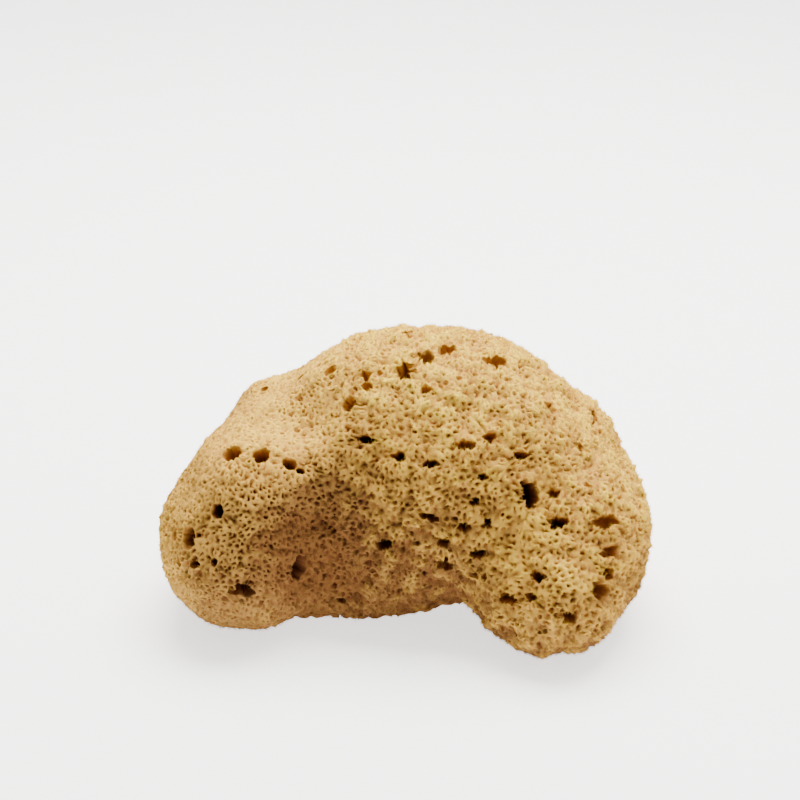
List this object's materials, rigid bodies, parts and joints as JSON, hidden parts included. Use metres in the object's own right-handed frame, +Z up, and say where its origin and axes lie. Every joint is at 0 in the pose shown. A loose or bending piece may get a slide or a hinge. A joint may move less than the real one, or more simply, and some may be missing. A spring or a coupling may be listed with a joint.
{
  "type": "sea sponge",
  "caption": "Natural bath sponge, kidney-shaped with a high crown, a hollow in front and round canal mouths, cut flat underneath.",
  "frame": {"origin": "on the surface it stands on, under the middle of its bounding box", "axes": "+Z up, +X along its length to the right as seen from its hollow front, -Y out of the front"},
  "size_m": [0.118, 0.0826, 0.0619],
  "materials": {
    "sponge": "dry, matt, finely porous spongin fibre"
  },
  "bodies": {
    "root": {"sponge": "sponge"}
  },
  "joints": []
}
